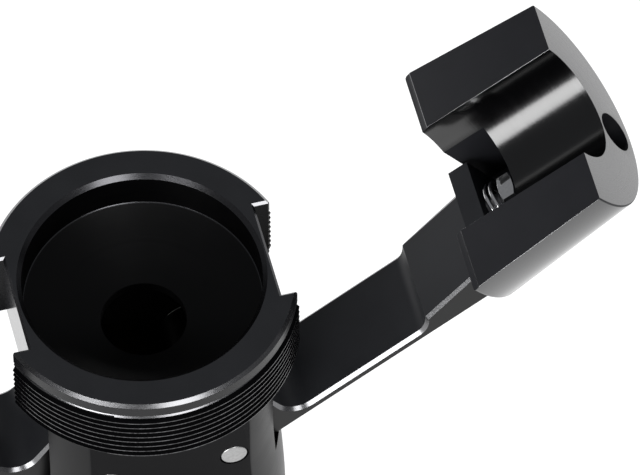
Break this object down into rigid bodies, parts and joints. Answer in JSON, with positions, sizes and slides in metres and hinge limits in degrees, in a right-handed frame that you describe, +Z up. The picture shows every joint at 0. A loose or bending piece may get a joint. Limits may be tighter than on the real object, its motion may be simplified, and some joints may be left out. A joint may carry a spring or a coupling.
{
  "type": "folding split-sleeve laser collimator",
  "caption": "Laser collimator with a threaded funnel collar and two hinged arms whose sprung half-round jaws fold up into a tapered sleeve.",
  "frame": {"origin": "centre of the object's bounding box at the height of the cap's flat bottom, on the laser's axis", "axes": "+Z up along the laser beam, +X along the open arms, +Y away from the face with the switch"},
  "size_m": [0.1224, 0.0384, 0.0928],
  "materials": {
    "black_anodised": "fine matte black anodise with polished cut edges",
    "chrome": "bright plated steel",
    "steel": "plain machined steel",
    "brass": "turned brass",
    "nylon": "natural nylon",
    "glass": "polished and coated",
    "board": "green solder mask",
    "rubber": "moulded",
    "button_plastic": "red moulded cap"
  },
  "bodies": {
    "base": {"battery_cap": "black_anodised", "button_bezel": "chrome", "button_cell_1": "steel", "button_cell_2": "steel", "button_cell_3": "steel", "button_spring": "steel", "cap_o_ring": "rubber", "collar_screw_1": "steel", "collar_screw_2": "steel", "collar_screw_3": "steel", "collar_screw_4": "steel", "collimating_lens": "glass", "collimation_screw_1": "steel", "collimation_screw_2": "steel", "collimation_screw_3": "steel", "contact_spring": "brass", "driver_board": "board", "hub_body": "black_anodised", "laser_barrel": "brass", "laser_diode": "steel", "left_back_washer": "nylon", "left_front_washer": "nylon", "left_hinge_pin": "chrome", "lens_ring": "brass", "right_back_washer": "nylon", "right_front_washer": "nylon", "right_hinge_pin": "chrome", "threaded_collar": "black_anodised"},
    "right_arm": {"right_arm": "black_anodised", "right_jaw_screw": "steel", "right_jaw_spring": "chrome"},
    "right_jaw": {"right_jaw": "black_anodised", "right_jaw_nut": "chrome"},
    "left_arm": {"left_arm": "black_anodised", "left_jaw_screw": "steel", "left_jaw_spring": "chrome"},
    "left_jaw": {"left_jaw": "black_anodised", "left_jaw_nut": "chrome"},
    "button": {"push_button": "button_plastic"}
  },
  "joints": [
    {"name": "right_arm_hinge", "type": "hinge", "parent": "base", "child": "right_arm", "pos_m": [0.008, 0, 0.051], "axis": [0, -1, 0], "range_deg": [0, 54.3]},
    {"name": "left_arm_hinge", "type": "hinge", "parent": "base", "child": "left_arm", "pos_m": [-0.008, 0, 0.051], "axis": [0, 1, 0], "range_deg": [0, 54.3]},
    {"name": "right_jaw_slide", "type": "slide", "parent": "right_arm", "child": "right_jaw", "axis": [-0.8121, 0, -0.5835], "range_m": [0, 0.0008], "stiffness_N_per_m": 1500, "springref_m": -0.002, "deforming": ["right_jaw_spring"]},
    {"name": "left_jaw_slide", "type": "slide", "parent": "left_arm", "child": "left_jaw", "axis": [0.8121, 0, -0.5835], "range_m": [0, 0.0008], "stiffness_N_per_m": 1500, "springref_m": -0.002, "deforming": ["left_jaw_spring"]},
    {"name": "button_press", "type": "slide", "parent": "base", "child": "button", "axis": [0, 1, 0], "range_m": [0, 0.0006], "stiffness_N_per_m": 800, "springref_m": -0.001, "deforming": ["button_spring"]}
  ]
}
